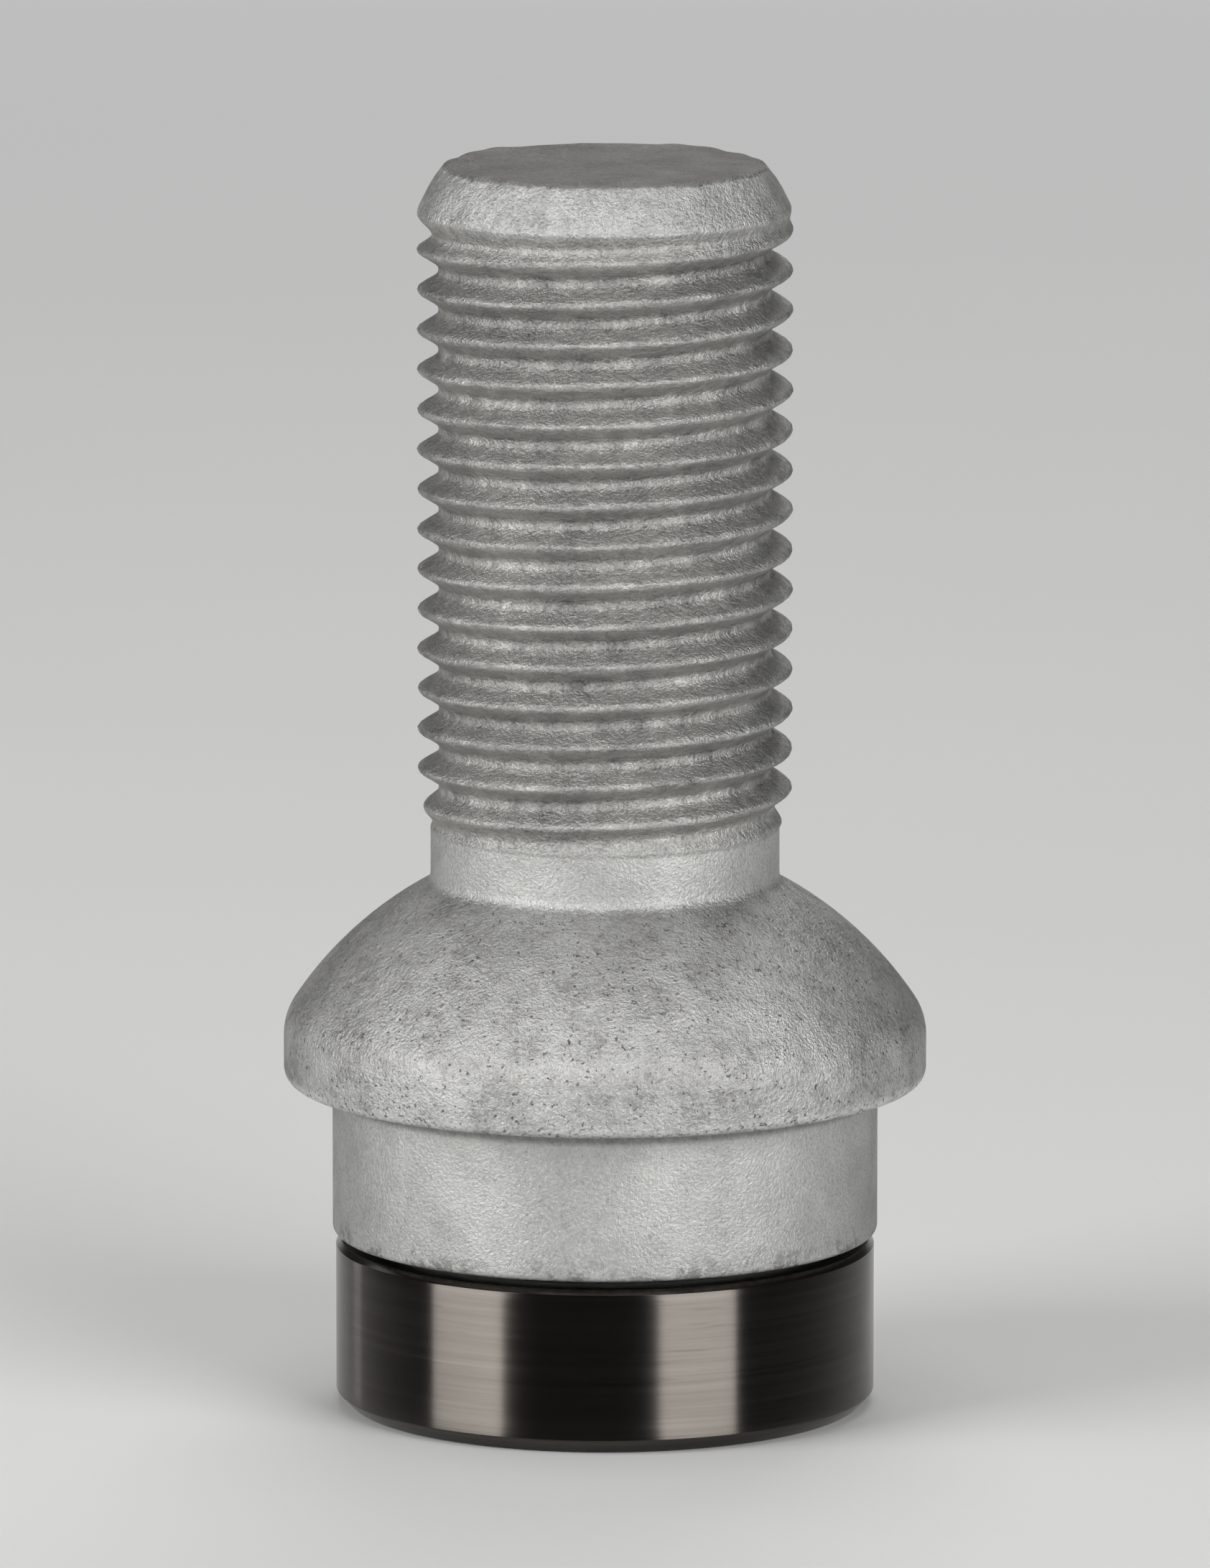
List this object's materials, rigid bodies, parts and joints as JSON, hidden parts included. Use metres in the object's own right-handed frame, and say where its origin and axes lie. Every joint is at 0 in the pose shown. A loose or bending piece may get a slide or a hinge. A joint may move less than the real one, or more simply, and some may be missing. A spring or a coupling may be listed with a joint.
{
  "type": "locking wheel bolt",
  "caption": "Wheel bolt with a ball seat, a fine-threaded shank, a wavy key groove in its head and a freely turning dark collar round the lock.",
  "frame": {"origin": "on the bolt's axis, in the plane of the collar's free end, on which the bolt stands", "axes": "+Z along the bolt's axis from the head to the threaded tip; X and Y are free, as the bolt is round"},
  "size_m": [0.024, 0.024, 0.0468],
  "materials": {
    "coated_steel": "matt silver zinc-flake coat on steel",
    "dark_chrome": "mirror-bright dark chrome on hardened steel",
    "spring_steel": "drawn spring wire"
  },
  "bodies": {
    "bolt": {"bolt_body": "coated_steel", "retaining_ring": "spring_steel"},
    "collar": {"spin_collar": "dark_chrome"}
  },
  "joints": [
    {"name": "collar_spin", "type": "hinge", "parent": "bolt", "child": "collar", "pos_m": [0, 0, 0.0031], "axis": [0, 0, 1], "continuous": true}
  ]
}
